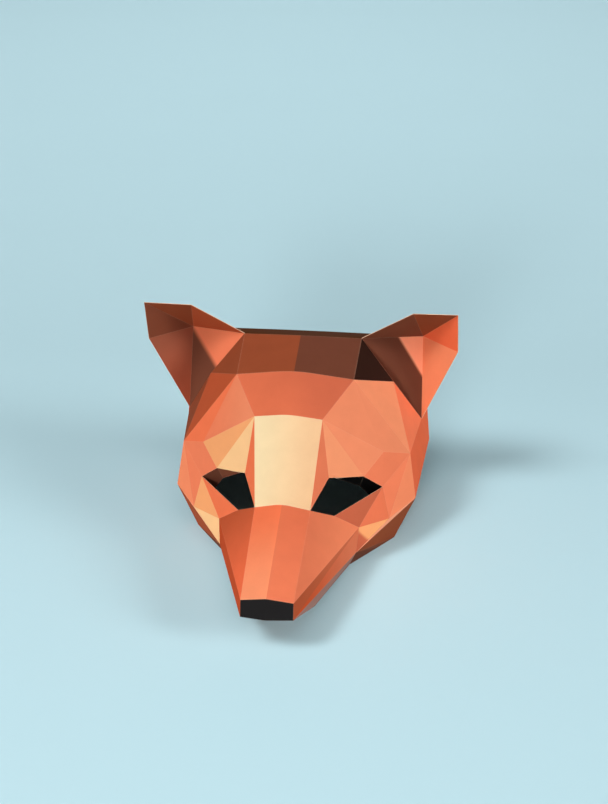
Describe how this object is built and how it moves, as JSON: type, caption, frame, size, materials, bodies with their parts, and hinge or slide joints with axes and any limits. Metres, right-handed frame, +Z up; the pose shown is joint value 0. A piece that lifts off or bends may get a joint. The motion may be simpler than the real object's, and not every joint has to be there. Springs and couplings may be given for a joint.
{
  "type": "paper fox mask",
  "caption": "Faceted folded-card fox mask with a long snout, open eye holes and cupped upright ears, worn over the whole head, open underneath and behind.",
  "frame": {"origin": "centre of the mask's bounding box at the table it stands on", "axes": "+X towards the wearer's left, +Y from the nose towards the back of the head, +Z up"},
  "size_m": [0.4732, 0.4644, 0.339],
  "materials": {
    "cream_card": "matt printed card",
    "apricot_card": "matt printed card",
    "orange_card": "matt printed card",
    "rust_card": "matt printed card",
    "brown_card": "matt printed card",
    "umber_card": "matt printed card",
    "black_card": "matt printed card"
  },
  "bodies": {
    "root": {"nose": "black_card", "snout_top": "orange_card", "snout_side_left": "orange_card", "snout_side_right": "orange_card", "snout_lower_left": "rust_card", "snout_lower_right": "rust_card", "jaw_front_left": "brown_card", "jaw_front_right": "brown_card", "jaw_bottom": "brown_card", "jaw_side_left": "brown_card", "jaw_side_right": "brown_card", "cheek_left": "orange_card", "cheek_right": "orange_card", "blaze": "cream_card", "brow_left": "apricot_card", "brow_right": "apricot_card", "forehead": "rust_card", "crown": "brown_card", "crown_back": "umber_card", "temple_left": "orange_card", "temple_right": "orange_card", "head_side_left": "brown_card", "head_side_right": "brown_card", "flank_left": "orange_card", "flank_right": "orange_card", "ear_root_left": "brown_card", "ear_root_right": "brown_card", "ear_left": "rust_card", "ear_right": "rust_card", "eye_lid_left": "umber_card", "eye_lid_right": "umber_card"}
  },
  "joints": []
}
